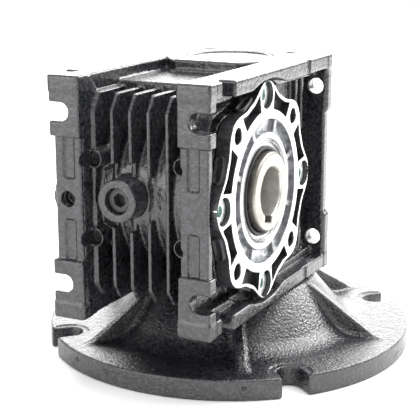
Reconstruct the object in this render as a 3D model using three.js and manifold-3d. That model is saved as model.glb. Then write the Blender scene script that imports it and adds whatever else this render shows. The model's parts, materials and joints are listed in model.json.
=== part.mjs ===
// Universal worm gearbox, 50 mm centre distance, with a 200 mm motor adapter flange.
// Millimetres, +Z up. The worm axis is vertical, the hollow output shaft lies along X.
// The origin is under the middle of the whole unit, on the plane it stands on.
import * as THREE from 'three';
import { mergeVertices } from 'three/addons/utils/BufferGeometryUtils.js';
import Module from 'manifold-3d';

const wasm = await Module();
wasm.setup();

// ---- driving dimensions -------------------------------------------------------------
const FLANGE_RADIUS = 100;
const FLANGE_RIM = 11;
const HOUSING_BOTTOM = 37;
const HOUSING_HEIGHT = 120;
const HOUSING_TOP = HOUSING_BOTTOM + HOUSING_HEIGHT;
const CENTRE_DISTANCE = 50;
const WORM_Y = 5;
const OUTPUT_Y = WORM_Y - CENTRE_DISTANCE;
const OUTPUT_Z = HOUSING_BOTTOM + HOUSING_HEIGHT / 2;
const FRONT_Y = OUTPUT_Y - 60;
const BACK_Y = OUTPUT_Y + 84;
const FOOT_SPACING = 85;
const HALF_WIDTH = 43;
const CASE_HALF = 32;
const CASE_FRONT = FRONT_Y + 14.5;
const CASE_FLOOR = 6.3;

// Front lugs and the strips that join them.
const LUG = { width: 17, height: 29.5, thick: 7, cornerThick: 13.7, cornerHeight: 7.7 };
const SLOT = { radius: 4.5, inner: 32.2 };
const STRIP = { front: FRONT_Y + 1.8, thick: 4.7, inner: 26.6, outer: 41.3 };

// Back plate and the rails that join it to the front.
const PLATE = { thick: 7, ear: 46.2, middle: 44.6, earHeight: 31, holeX: 39.3, holeRadius: 4.25 };
const RAIL = { inner: 27, outer: 46.2, thick: 7.7, front: FRONT_Y + 20, wallOuter: 38, wallDepth: 11.5 };

// Octagonal bosses round the two worm bearings.
const TOP_BOSS = { half: 30, chamfer: 12 };
const FOOT_BOSS = { half: 34, chamfer: 10, height: 15 };

// Cooling fins.
const FIN = { pitch: 10, count: 6, thick: 2.2, front: FRONT_Y + 11, back: FRONT_Y + 42, inset: 8.9 };
const FIN_CHAMFER = { y: 5.5, z: 7.8 };

// Output side: scalloped drum and cover, seen along X.
const FACE_X = 44.5;
const COVER_THICK = 7.5;
const JOINT_GAP = 0.5;
const DRUM_X = FACE_X - COVER_THICK - JOINT_GAP;
const SCALLOP = { bigLobe: 55, smallLobe: 53.5, valley: 48.8 };
const SCREW_CIRCLE = 48;
const TAPPED_CIRCLE = 46.5;
const TAPPED_RADIUS = 3.9;
const POCKET = { inner: 40.7, outer: 47, half: 11.5, depth: 4.8 };
const PILOT_RADIUS = 36;
const BOSS_RING = { inner: 26.1, outer: 29.5, face: FACE_X - 0.8 };
const RECESS_FLOOR = FACE_X - 3.6;
const WHEEL_BORE = 41.5;
const CLEARANCE_RADIUS = 56;

// Gearing.
const MODULE = 2.5;
const WHEEL_TEETH = 30;
const WORM_PITCH_RADIUS = 12.5;
const WHEEL_PITCH_RADIUS = MODULE * WHEEL_TEETH / 2;
const AXIAL_PITCH = Math.PI * MODULE;
const FLANK = Math.tan(THREE.MathUtils.degToRad(20));
const TOOTH_AT_PITCH = AXIAL_PITCH / 2 - 0.35;
const WHEEL_TIP = WHEEL_PITCH_RADIUS + MODULE;
const WHEEL_ROOT = WHEEL_PITCH_RADIUS - 1.2 * MODULE;
const WHEEL_HALF_FACE = 10;
const WORM_TIP = WORM_PITCH_RADIUS + MODULE;
const WORM_ROOT = WORM_PITCH_RADIUS - 1.2 * MODULE;
const WORM_THREAD = { bottom: OUTPUT_Z - 25, top: OUTPUT_Z + 25 };

// Hollow output shaft.
const SHAFT = { half: 47, radius: 20, bore: 12.5, shoulder: 24, shoulderHalf: 20, web: 31 };
const OUTPUT_KEY = { width: 8, top: 15.8, angle: -103 };

// Bearings: bore, outside radius, width, ball size, number of balls.
const OUTPUT_BEARING = { bore: 20, outer: 34, width: 15, ball: 3.9, balls: 10 };
const INPUT_BEARING = { bore: 15, outer: 27.5, width: 13, ball: 3.5, balls: 10 };
const REAR_BEARING = { bore: 10, outer: 23.5, width: 14, ball: 3.9, balls: 7 };
const OUTPUT_BEARING_X = SHAFT.shoulderHalf + 0.1 + OUTPUT_BEARING.width / 2;
const INPUT_BEARING_Z = 53;
const REAR_BEARING_Z = 141;
const INPUT_RACE = {
  outside: INPUT_BEARING_Z - INPUT_BEARING.width / 2, inside: INPUT_BEARING_Z + INPUT_BEARING.width / 2,
};
const REAR_RACE = {
  inside: REAR_BEARING_Z - REAR_BEARING.width / 2, outside: REAR_BEARING_Z + REAR_BEARING.width / 2,
};
const WORM_ROOM = 20;
const INPUT_SHAFT = { bottom: 6, bore: 9.5, boreTop: 48, keyWidth: 6, keyTop: 12.3 };
const SEAL_WIDTH = 7;
const FIT = 0.1;
const SEAL_FIT = 0.25;

// Facets round each turned surface: surfaces that fit together share a count.
const ROUND = 24;
const WIDE = 36;
const SMALL = 12;

// Motor flange: the cone's hub, the motor's pilot, the bolt slots and the ribs.
const HUB_TOP = HOUSING_BOTTOM - 0.6;
const FLANGE = {
  pilot: 65, pilotDepth: 4.5, hub: 30, hubRadius: 47,
  slotCircle: 91, slotRadius: 6.5, mouthHalf: 7.4, ribs: 6, ribHalf: 2.4,
};

// Fasteners and plug.
const COVER_SCREW = {
  shank: 3.9, head: 6.4, headHeight: 3.1, counterbore: 6.8, sunk: 2.4, length: 13, socket: 3,
};
const FLANGE_SCREW = { shank: 3.9, head: 6.4, headHeight: 8, offset: 24, seat: 28, top: 50, socket: 3.4 };
const PLUG = {
  x: -7.5, z: OUTPUT_Z + 1.5, boss: 10.4, hole: 6.25, clearing: 16.8, front: FRONT_Y + 2,
  depth: 3, length: 9, socket: 3.4,
};
const STRIP_HOLE = { x: -34.6, radius: 3.8 };
const PIN_HOLE = { x: 24, z: 19.5, boss: 5.4, radius: 3.6, depth: 8 };

// ---- looks --------------------------------------------------------------------------
const look = (color, roughness, metalness) =>
  new THREE.MeshStandardMaterial({ color, roughness, metalness });
const LOOKS = {
  enamel: look(0x101114, 0.3, 0.1),
  machined: look(0xd9dadb, 0.35, 0.9),
  steel: look(0xb9b2a4, 0.3, 1),
  zinc: look(0xc3cbc6, 0.35, 0.9),
  bronze: look(0xb0803c, 0.35, 1),
  rubber: look(0x17181a, 0.7, 0),
  gasket: look(0x4a4d50, 0.8, 0),
};

// ---- shape helpers ------------------------------------------------------------------
const rad = THREE.MathUtils.degToRad;

// Merges shared points and drops the slivers that a turned profile has on its axis.
function closedGeometry(source) {
  const bare = source.clone();
  for (const name of Object.keys(bare.attributes)) {
    if (name !== 'position') bare.deleteAttribute(name);
  }
  const merged = mergeVertices(bare, 1e-4);
  const corners = merged.index.array;
  const kept = [];
  for (let i = 0; i < corners.length; i += 3) {
    const [a, b, c] = [corners[i], corners[i + 1], corners[i + 2]];
    if (a !== b && b !== c && c !== a) kept.push(a, b, c);
  }
  merged.setIndex(kept);
  return merged;
}

function solid(source) {
  const g = closedGeometry(source);
  const vertProperties = new Float32Array(g.attributes.position.array);
  const triVerts = new Uint32Array(g.index.array);
  return new wasm.Manifold(new wasm.Mesh({ numProp: 3, vertProperties, triVerts }));
}

function geometryOf(body) {
  const mesh = body.getMesh();
  const g = new THREE.BufferGeometry();
  g.setAttribute('position', new THREE.BufferAttribute(new Float32Array(mesh.vertProperties), 3));
  g.setIndex([...mesh.triVerts]);
  return g;
}

const joined = (first, ...rest) => rest.reduce((body, next) => body.add(next), first);
const cut = (first, ...rest) => rest.reduce((body, next) => body.subtract(next), first);

function box(x0, x1, y0, y1, z0, z1) {
  const g = new THREE.BoxGeometry(x1 - x0, y1 - y0, z1 - z0);
  return solid(g.translate((x0 + x1) / 2, (y0 + y1) / 2, (z0 + z1) / 2));
}

// An outline drawn in the plane across an axis: (y, z) for X, (x, z) for Y, (x, y) for Z.
const BASES = {
  x: [new THREE.Vector3(0, 1, 0), new THREE.Vector3(0, 0, 1), new THREE.Vector3(1, 0, 0)],
  y: [new THREE.Vector3(1, 0, 0), new THREE.Vector3(0, 0, 1), new THREE.Vector3(0, -1, 0)],
  z: [new THREE.Vector3(1, 0, 0), new THREE.Vector3(0, 1, 0), new THREE.Vector3(0, 0, 1)],
};

function prism(axis, points, low, high) {
  const shape = new THREE.Shape(points.map(([u, v]) => new THREE.Vector2(u, v)));
  const g = new THREE.ExtrudeGeometry(shape, { depth: high - low, bevelEnabled: false, steps: 1 });
  g.applyMatrix4(new THREE.Matrix4().makeBasis(...BASES[axis]));
  const start = { x: [low, 0, 0], y: [0, high, 0], z: [0, 0, low] }[axis];
  return solid(g.translate(...start));
}

// An arc of points, from one angle to another in degrees.
function arc(u, v, radius, from, to, steps) {
  return Array.from({ length: steps + 1 }, (_, i) => {
    const a = rad(from + (to - from) * i / steps);
    return [u + radius * Math.cos(a), v + radius * Math.sin(a)];
  });
}

const disc = (axis, u, v, radius, low, high, steps = 24) =>
  prism(axis, arc(u, v, radius, 0, 360 - 360 / steps, steps - 1), low, high);

// A closed profile of [radius, height] points, anticlockwise, turned about Z or X.
function turned(axis, profile, steps) {
  const points = [...profile, profile[0]].map(([r, h]) => new THREE.Vector2(r, h));
  const g = new THREE.LatheGeometry(points, steps);
  return solid(axis === 'z' ? g.rotateX(Math.PI / 2) : g.rotateZ(-Math.PI / 2));
}

const ring = (axis, inner, outer, low, high, steps) =>
  turned(axis, [[inner, low], [outer, low], [outer, high], [inner, high]], steps);

const rotatedX = (body, degrees) => body.rotate([degrees, 0, 0]);
const rotatedZ = (body, degrees) => body.rotate([0, 0, degrees]);

// ---- scalloped outline shared by the drum and the cover -----------------------------
// Eight lobes, the four at 0, 90, 180 and 270 degrees a little larger than the others.
function scallopOutline(u, v) {
  const steps = 48;
  return Array.from({ length: steps }, (_, i) => {
    const degrees = 360 * i / steps;
    const lobe = (Math.cos(rad(4 * degrees)) > 0) ? SCALLOP.bigLobe : SCALLOP.smallLobe;
    const swell = Math.min(1, 0.5 + 0.75 * Math.cos(rad(8 * degrees)));
    const radius = SCALLOP.valley + (lobe - SCALLOP.valley) * Math.max(0, swell);
    return [u + radius * Math.cos(rad(degrees)), v + radius * Math.sin(rad(degrees))];
  });
}

const pocket = (low, high) => {
  const { inner, outer, half } = POCKET;
  const outline = [...arc(0, 0, outer, -half, half, 2), ...arc(0, 0, inner, half, -half, 2)];
  return prism('x', outline, low, high);
};

// ---- housing ------------------------------------------------------------------------
function lugs() {
  const parts = [];
  for (const side of [-1, 1]) {
    for (const end of [-1, 1]) {
      const xs = [side * (HALF_WIDTH - LUG.width), side * HALF_WIDTH].sort((a, b) => a - b);
      const edge = OUTPUT_Z + end * HOUSING_HEIGHT / 2;
      const zs = [edge, edge - end * LUG.height].sort((a, b) => a - b);
      const corner = [edge, edge - end * LUG.cornerHeight].sort((a, b) => a - b);
      parts.push(box(...xs, FRONT_Y, FRONT_Y + LUG.thick, ...zs));
      parts.push(box(...xs, FRONT_Y, FRONT_Y + LUG.cornerThick, ...corner));
    }
  }
  return parts;
}

function lugSlots() {
  const parts = [];
  for (const side of [-1, 1]) {
    for (const end of [-1, 1]) {
      const z = OUTPUT_Z + end * FOOT_SPACING / 2;
      const centre = side * (SLOT.inner + SLOT.radius);
      const outside = side * (HALF_WIDTH + 5);
      const [low, high] = [z - SLOT.radius, z + SLOT.radius];
      const points = side > 0
        ? [...arc(centre, z, SLOT.radius, 90, 270, 8), [outside, low], [outside, high]]
        : [...arc(centre, z, SLOT.radius, -90, 90, 8), [outside, high], [outside, low]];
      parts.push(prism('y', points, FRONT_Y - 1, FRONT_Y + LUG.thick + 1));
    }
  }
  return parts;
}

// Strip between two lugs, and the wall with bevelled ends that ties it to the case.
function strips() {
  const parts = [];
  const wallTop = HOUSING_TOP - FIN.inset;
  const wallBottom = HOUSING_BOTTOM + FIN.inset;
  for (const side of [-1, 1]) {
    const xs = [side * STRIP.inner, side * STRIP.outer].sort((a, b) => a - b);
    parts.push(box(...xs, STRIP.front, STRIP.front + STRIP.thick, HOUSING_BOTTOM + 20, HOUSING_TOP - 20));
    const wall = [side * (STRIP.inner - 0.6), side * CASE_HALF].sort((a, b) => a - b);
    parts.push(prism('x', [
      [STRIP.front + 2, HOUSING_BOTTOM], [STRIP.front + 6, HOUSING_BOTTOM], [FIN.front + 8, wallBottom],
      [FIN.back, wallBottom], [FIN.back, wallTop], [FIN.front + 8, wallTop],
      [STRIP.front + 6, HOUSING_TOP], [STRIP.front + 2, HOUSING_TOP],
    ], ...wall));
  }
  return parts;
}

function fins() {
  const top = HOUSING_TOP - FIN.inset;
  const bottom = HOUSING_BOTTOM + FIN.inset;
  return Array.from({ length: FIN.count }, (_, i) => {
    const x = (i - (FIN.count - 1) / 2) * FIN.pitch;
    return prism('x', [
      [FIN.back, bottom], [FIN.back, top], [FIN.front + FIN_CHAMFER.y, top],
      [FIN.front, top - FIN_CHAMFER.z], [FIN.front, bottom + FIN_CHAMFER.z],
      [FIN.front + FIN_CHAMFER.y, bottom],
    ], x - FIN.thick / 2, x + FIN.thick / 2);
  });
}

function backPlate() {
  const { ear, middle, earHeight } = PLATE;
  const low = HOUSING_BOTTOM;
  const high = HOUSING_TOP;
  return prism('y', [
    [-ear, low], [ear, low], [ear, low + earHeight], [middle, low + earHeight + 2],
    [middle, high - earHeight - 2], [ear, high - earHeight], [ear, high],
    [-ear, high], [-ear, high - earHeight], [-middle, high - earHeight - 2],
    [-middle, low + earHeight + 2], [-ear, low + earHeight],
  ], BACK_Y - PLATE.thick, BACK_Y);
}

// Rails along the four long edges, each with a wall along its inner side that reaches the lug.
function rails() {
  const parts = [];
  for (const side of [-1, 1]) {
    for (const end of [-1, 1]) {
      const xs = [side * (RAIL.inner + 1), side * RAIL.outer].sort((a, b) => a - b);
      const wall = [side * RAIL.inner, side * RAIL.wallOuter].sort((a, b) => a - b);
      const edge = OUTPUT_Z + end * HOUSING_HEIGHT / 2;
      const zs = [edge, edge - end * RAIL.thick].sort((a, b) => a - b);
      const deep = [edge, edge - end * RAIL.wallDepth].sort((a, b) => a - b);
      parts.push(box(...xs, RAIL.front, BACK_Y - 1, ...zs));
      parts.push(box(...wall, FRONT_Y + LUG.thick + 1, BACK_Y - 1, ...deep));
    }
  }
  return parts;
}

// A barrel round the wheel, the block behind it, the bearing bosses and the rear block.
function caseBlocks() {
  const octagon = (half, c) => [
    [half, WORM_Y - half + c], [half, WORM_Y + half - c], [half - c, WORM_Y + half],
    [c - half, WORM_Y + half], [-half, WORM_Y + half - c], [-half, WORM_Y - half + c],
    [c - half, WORM_Y - half], [half - c, WORM_Y - half],
  ];
  return [
    disc('x', OUTPUT_Y, OUTPUT_Z, OUTPUT_Y - CASE_FRONT, -CASE_HALF, CASE_HALF, WIDE),
    box(-CASE_HALF, CASE_HALF, FIN.back - 3, 20, HOUSING_BOTTOM + CASE_FLOOR, HOUSING_TOP - CASE_FLOOR),
    prism('z', octagon(TOP_BOSS.half, TOP_BOSS.chamfer), HOUSING_BOTTOM + 10, HOUSING_TOP),
    prism('z', octagon(FOOT_BOSS.half, FOOT_BOSS.chamfer), HOUSING_BOTTOM, HOUSING_BOTTOM + FOOT_BOSS.height),
    box(-28, 28, 10, BACK_Y - 3, HOUSING_BOTTOM + 4, HOUSING_TOP - 4),
  ];
}

function drums() {
  const outline = scallopOutline(OUTPUT_Y, OUTPUT_Z);
  return [
    prism('x', outline, CASE_HALF - 4, DRUM_X),
    prism('x', outline, -FACE_X, 4 - CASE_HALF),
  ];
}

// Everything taken out about the output axis: wheel chamber, bearing seat, seal seat, face.
function outputCuts() {
  const seat = -(SHAFT.shoulderHalf + OUTPUT_BEARING.width + 0.4);
  const cuts = [
    disc('x', 0, 0, WHEEL_BORE, -18, DRUM_X + 1, WIDE),
    disc('x', 0, 0, OUTPUT_BEARING.outer + FIT, seat, -17, ROUND),
    disc('x', 0, 0, BOSS_RING.inner, -FACE_X - 1, seat + 1, ROUND),
    ring('x', BOSS_RING.outer, PILOT_RADIUS, -FACE_X - 1, -RECESS_FLOOR, WIDE),
    disc('x', 0, 0, BOSS_RING.outer + 1, -FACE_X - 1, -BOSS_RING.face, ROUND),
  ];
  for (let i = 0; i < 8; i += 1) {
    cuts.push(rotatedX(pocket(-FACE_X - 1, -FACE_X + POCKET.depth), 22.5 + 45 * i));
  }
  for (let i = 0; i < 4; i += 1) {
    const rear = disc('x', TAPPED_CIRCLE, 0, TAPPED_RADIUS, -FACE_X - 1, -FACE_X + 13, SMALL);
    const front = disc('x', TAPPED_CIRCLE, 0, TAPPED_RADIUS, DRUM_X - 9, DRUM_X + 1, SMALL);
    const screw = disc('x', SCREW_CIRCLE, 0, COVER_SCREW.shank + FIT, DRUM_X - 11, DRUM_X + 1, SMALL);
    cuts.push(rotatedX(rear, 45 + 90 * i), rotatedX(front, 45 + 90 * i), rotatedX(screw, 90 * i));
  }
  return cuts.map(body => body.translate([0, OUTPUT_Y, OUTPUT_Z]));
}

function wormCuts() {
  const wormCut = (radius, low, high) => disc('z', 0, WORM_Y, radius, low, high, ROUND);
  return [
    wormCut(WORM_ROOM, HOUSING_BOTTOM + 20, HOUSING_TOP - 20),
    wormCut(INPUT_BEARING.outer + FIT, HOUSING_BOTTOM - 1, INPUT_RACE.inside + 0.2),
    wormCut(REAR_BEARING.outer + FIT, REAR_RACE.inside - 0.2, HOUSING_TOP + 1),
  ];
}

function housing() {
  const cast = [...caseBlocks(), ...lugs(), ...strips(), ...fins(), backPlate(), ...rails(), ...drums()];
  const body = joined(...cast);
  const clearing = disc('y', PLUG.x, PLUG.z, PLUG.clearing, FIN.front - 1, CASE_FRONT, ROUND);
  const bosses = [disc('y', PLUG.x, PLUG.z, PLUG.boss, PLUG.front, CASE_FRONT + 2)];
  const holes = [disc('y', PLUG.x, PLUG.z, PLUG.hole, PLUG.front - 1, CASE_FRONT + 8, 24)];
  for (const side of [-1, 1]) {
    for (const end of [-1, 1]) {
      const [x, z] = [side * PIN_HOLE.x, OUTPUT_Z + end * PIN_HOLE.z];
      bosses.push(disc('y', x, z, PIN_HOLE.boss, STRIP.front, CASE_FRONT + 8, 16));
      holes.push(disc('y', x, z, PIN_HOLE.radius, STRIP.front - 1, STRIP.front + PIN_HOLE.depth, 16));
      const corner = [side * PLATE.holeX, OUTPUT_Z + end * FOOT_SPACING / 2];
      holes.push(disc('y', ...corner, PLATE.holeRadius, BACK_Y - PLATE.thick - 1, BACK_Y + 1, 16));
      const screw = [side * FLANGE_SCREW.offset, WORM_Y + end * FLANGE_SCREW.offset];
      const tapped = [HOUSING_BOTTOM - 1, FLANGE_SCREW.top + 1];
      holes.push(disc('z', ...screw, FLANGE_SCREW.shank + FIT, ...tapped, SMALL));
    }
  }
  const coverRoom = disc('x', OUTPUT_Y, OUTPUT_Z, CLEARANCE_RADIUS, DRUM_X, RAIL.outer + 1, WIDE);
  const ringRoom = cut(
    disc('x', OUTPUT_Y, OUTPUT_Z, CLEARANCE_RADIUS, -RAIL.outer - 1, -DRUM_X, WIDE),
    prism('x', scallopOutline(OUTPUT_Y, OUTPUT_Z), -FACE_X, -DRUM_X),
  );
  const stripBack = STRIP.front + STRIP.thick;
  const stripHole = disc('y', STRIP_HOLE.x, OUTPUT_Z, STRIP_HOLE.radius, FRONT_Y - 1, stripBack + 1, 16);
  const shell = joined(cut(body, clearing), ...bosses);
  return cut(shell, coverRoom, ringRoom, stripHole, ...holes, ...lugSlots(), ...outputCuts(), ...wormCuts());
}

// ---- output cover, about the X axis -------------------------------------------------
function sideCover() {
  const under = FACE_X - COVER_THICK;
  const seatEnd = OUTPUT_BEARING_X + OUTPUT_BEARING.width / 2 + 0.3;
  const plate = prism('x', scallopOutline(0, 0), under, FACE_X);
  const spigot = turned('x', [[0, SHAFT.shoulderHalf - 1], [WHEEL_BORE - 2 * FIT, SHAFT.shoulderHalf - 1],
    [WHEEL_BORE - 2 * FIT, under + 1], [0, under + 1]], WIDE);
  const cuts = [
    disc('x', 0, 0, OUTPUT_BEARING.outer + FIT, SHAFT.shoulderHalf - 2, seatEnd, ROUND),
    disc('x', 0, 0, BOSS_RING.inner, seatEnd - 1, FACE_X + 1, ROUND),
    ring('x', BOSS_RING.outer, PILOT_RADIUS, RECESS_FLOOR, FACE_X + 1, WIDE),
    disc('x', 0, 0, BOSS_RING.outer + 1, BOSS_RING.face, FACE_X + 1, ROUND),
  ];
  const { shank, counterbore, sunk, headHeight } = COVER_SCREW;
  const floor = FACE_X - sunk - headHeight;
  for (let i = 0; i < 8; i += 1) {
    cuts.push(rotatedX(pocket(FACE_X - POCKET.depth, FACE_X + 1), 22.5 + 45 * i));
  }
  for (let i = 0; i < 4; i += 1) {
    const tapped = disc('x', TAPPED_CIRCLE, 0, TAPPED_RADIUS, under - 1, FACE_X + 1, SMALL);
    const headRoom = disc('x', SCREW_CIRCLE, 0, counterbore, floor, FACE_X + 1, ROUND);
    const shankRoom = disc('x', SCREW_CIRCLE, 0, shank + FIT, under - 1, floor + 1, SMALL);
    cuts.push(rotatedX(tapped, 45 + 90 * i), rotatedX(headRoom, 90 * i), rotatedX(shankRoom, 90 * i));
  }
  const ribHalf = 1.5;
  const [ribInner, ribOuter] = [BOSS_RING.outer - 0.5, PILOT_RADIUS + 0.5];
  const ribs = Array.from({ length: 8 }, (_, i) =>
    rotatedX(box(RECESS_FLOOR - 0.5, FACE_X - 1.2, ribInner, ribOuter, -ribHalf, ribHalf), 22.5 + 45 * i));
  return joined(cut(joined(plate, spigot), ...cuts), ...ribs);
}

function coverGasket() {
  const [low, high] = [DRUM_X + 0.05, DRUM_X + JOINT_GAP - 0.05];
  return ring('x', WHEEL_BORE + 0.1, TAPPED_CIRCLE - TAPPED_RADIUS - 0.2, low, high, WIDE);
}

// ---- fasteners ----------------------------------------------------------------------
// A socket-head screw along Z with its head's underside at height 0 and the head above.
function socketScrew({ shank, head, headHeight, socket }, length) {
  const body = turned('z', [
    [0, -length], [shank, -length], [shank, 0], [head, 0], [head, headHeight], [0, headHeight],
  ], SMALL);
  return cut(body, disc('z', 0, 0, socket, headHeight * 0.35, headHeight + 1, 6));
}

// ---- gears and shafts ---------------------------------------------------------------
function wheelSection(x) {
  const half = TOOTH_AT_PITCH / 2;
  const tip = (half - FLANK * (WHEEL_TIP - WHEEL_PITCH_RADIUS)) / WHEEL_TIP;
  const root = (half + FLANK * (WHEEL_PITCH_RADIUS - WHEEL_ROOT)) / WHEEL_ROOT;
  const twist = (MODULE / (2 * WORM_PITCH_RADIUS)) * x / WHEEL_PITCH_RADIUS;
  const points = [];
  for (let tooth = 0; tooth < WHEEL_TEETH; tooth += 1) {
    const middle = (tooth + 0.5) * 2 * Math.PI / WHEEL_TEETH + twist;
    const corners = [[WHEEL_ROOT, -root], [WHEEL_TIP, -tip], [WHEEL_TIP, tip], [WHEEL_ROOT, root]];
    for (const [r, turn] of corners) {
      points.push([x, r * Math.cos(middle + turn), r * Math.sin(middle + turn)]);
    }
  }
  return points;
}

// A body lofted through rings of equal point counts, closed with a fan at each end.
function lofted(sections, endCentres) {
  const count = sections[0].length;
  const points = [...sections.flat(), ...endCentres];
  const faces = [];
  for (let s = 0; s + 1 < sections.length; s += 1) {
    for (let i = 0; i < count; i += 1) {
      const [a, b] = [s * count + i, s * count + (i + 1) % count];
      faces.push(a, b, b + count, a, b + count, a + count);
    }
  }
  const lastRing = (sections.length - 1) * count;
  const first = points.length - 2;
  for (let i = 0; i < count; i += 1) {
    faces.push(first, (i + 1) % count, i, first + 1, lastRing + i, lastRing + (i + 1) % count);
  }
  const g = new THREE.BufferGeometry();
  g.setAttribute('position', new THREE.BufferAttribute(new Float32Array(points.flat()), 3));
  g.setIndex(faces);
  return solid(g);
}

function wheelRim() {
  const stations = [-WHEEL_HALF_FACE, 0, WHEEL_HALF_FACE];
  const ends = [[-WHEEL_HALF_FACE, 0, 0], [WHEEL_HALF_FACE, 0, 0]];
  const blank = lofted(stations.map(wheelSection), ends);
  return cut(blank, disc('x', 0, 0, SHAFT.web + FIT, -WHEEL_HALF_FACE - 1, WHEEL_HALF_FACE + 1, ROUND));
}

function outputShaft() {
  const { half, radius, bore, shoulder, shoulderHalf, web } = SHAFT;
  const edge = 1.2;
  const body = turned('x', [
    [bore, -half], [radius - edge, -half], [radius, -half + edge], [radius, -shoulderHalf],
    [shoulder, -shoulderHalf], [shoulder, -WHEEL_HALF_FACE], [web, -WHEEL_HALF_FACE],
    [web, WHEEL_HALF_FACE], [shoulder, WHEEL_HALF_FACE], [shoulder, shoulderHalf],
    [radius, shoulderHalf], [radius, half - edge], [radius - edge, half], [bore, half],
  ], ROUND);
  const { width, top, angle } = OUTPUT_KEY;
  return cut(body, rotatedX(box(-half - 1, half + 1, 0, top, -width / 2, width / 2), angle));
}

// The thread is a trapezoid ridge swept along its helix and trimmed to length.
function wormThread() {
  const perTurn = 14;
  const turns = Math.ceil((WORM_THREAD.top - WORM_THREAD.bottom) / AXIAL_PITCH) + 2;
  const inner = WORM_ROOT - 1;
  const tip = TOOTH_AT_PITCH / 2 - FLANK * (WORM_TIP - WORM_PITCH_RADIUS);
  const base = TOOTH_AT_PITCH / 2 + FLANK * (WORM_PITCH_RADIUS - inner);
  const sections = [];
  for (let i = -turns * perTurn / 2; i <= turns * perTurn / 2; i += 1) {
    const a = 2 * Math.PI * i / perTurn - Math.PI / 2;
    const z = OUTPUT_Z + AXIAL_PITCH * i / perTurn;
    const corner = (r, dz) => [r * Math.cos(a), r * Math.sin(a), z + dz];
    const outer = [corner(WORM_TIP, tip), corner(WORM_TIP, -tip)];
    sections.push([corner(inner, -base), corner(inner, base), ...outer]);
  }
  const middle = section => [0, 1, 2].map(k => section.reduce((sum, p) => sum + p[k], 0) / section.length);
  const ridge = lofted(sections, [middle(sections[0]), middle(sections.at(-1))]);
  return ridge.intersect(disc('z', 0, 0, WORM_TIP + 3, WORM_THREAD.bottom, WORM_THREAD.top, 8));
}

function wormShaft() {
  const { bottom, bore, boreTop, keyWidth, keyTop } = INPUT_SHAFT;
  const [collar, body, neck] = [17.5, 14, 12];
  const collarLow = INPUT_RACE.inside + 0.1;
  const neckTop = REAR_RACE.inside - 0.1;
  const core = turned('z', [
    [0, bottom], [INPUT_BEARING.bore, bottom], [INPUT_BEARING.bore, collarLow], [collar, collarLow],
    [collar, collarLow + 3], [body, collarLow + 5], [body, WORM_THREAD.bottom - 4],
    [WORM_ROOT, WORM_THREAD.bottom], [WORM_ROOT, WORM_THREAD.top], [neck, WORM_THREAD.top + 4],
    [neck, neckTop], [REAR_BEARING.bore, neckTop],
    [REAR_BEARING.bore, REAR_RACE.outside], [0, REAR_RACE.outside],
  ], ROUND);
  return cut(
    joined(core, wormThread()),
    disc('z', 0, 0, bore, bottom - 1, boreTop, ROUND),
    box(0, keyTop, -keyWidth / 2, keyWidth / 2, bottom - 1, boreTop),
  );
}

// ---- bearings: inner ring, outer ring and the balls in their cage -------------------
function bearing(axis, spec) {
  const half = spec.width / 2;
  const pitch = (spec.bore + spec.outer) / 2;
  const land = (spec.outer - spec.bore) * 0.32;
  const groove = spec.ball + 0.15;
  const span = Math.sqrt(groove * groove - (pitch - spec.bore - land) ** 2);
  const bore = spec.bore + FIT;
  const innerLand = spec.bore + land;
  const outerLand = spec.outer - land;
  const inner = turned(axis, [
    [bore, -half], [innerLand, -half], [innerLand, -span], [pitch - groove, 0], [innerLand, span],
    [innerLand, half], [bore, half],
  ], ROUND);
  const outer = turned(axis, [
    [outerLand, -half], [spec.outer, -half], [spec.outer, half], [outerLand, half],
    [outerLand, span], [pitch + groove, 0], [outerLand, -span],
  ], ROUND);
  const ballRadius = spec.ball * 0.8;
  const cage = ring(axis, pitch - 0.9, pitch + 0.9, -1.6, 1.6, 20);
  const balls = Array.from({ length: spec.balls }, (_, i) => {
    const a = 2 * Math.PI * i / spec.balls;
    const [u, v] = [pitch * Math.cos(a), pitch * Math.sin(a)];
    const ball = new THREE.OctahedronGeometry(ballRadius, 1);
    return solid(axis === 'x' ? ball.translate(0, u, v) : ball.translate(u, v, 0));
  });
  return { inner, outer, balls: joined(cage, ...balls) };
}

// A lip seal: rubber-covered case with a groove on its outer side.
function seal(axis, inner, outer, low, high, outward) {
  const dish = 1.2;
  const [near, far] = [inner + 2, outer - 1.6];
  const profile = outward > 0
    ? [[inner, low], [outer, low], [outer, high], [far, high], [far, high - dish], [near, high - dish],
      [near, high], [inner, high]]
    : [[inner, low], [near, low], [near, low + dish], [far, low + dish], [far, low], [outer, low],
      [outer, high], [inner, high]];
  return turned(axis, profile, ROUND);
}

// A snap ring about Z with its gap.
function snapRing(inner, outer, low, high) {
  const gapHalf = 3;
  const gap = box(inner - 1, outer + 1, -gapHalf, gapHalf, low - 1, high + 1);
  return cut(ring('z', inner, outer, low, high, ROUND), gap);
}

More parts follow.
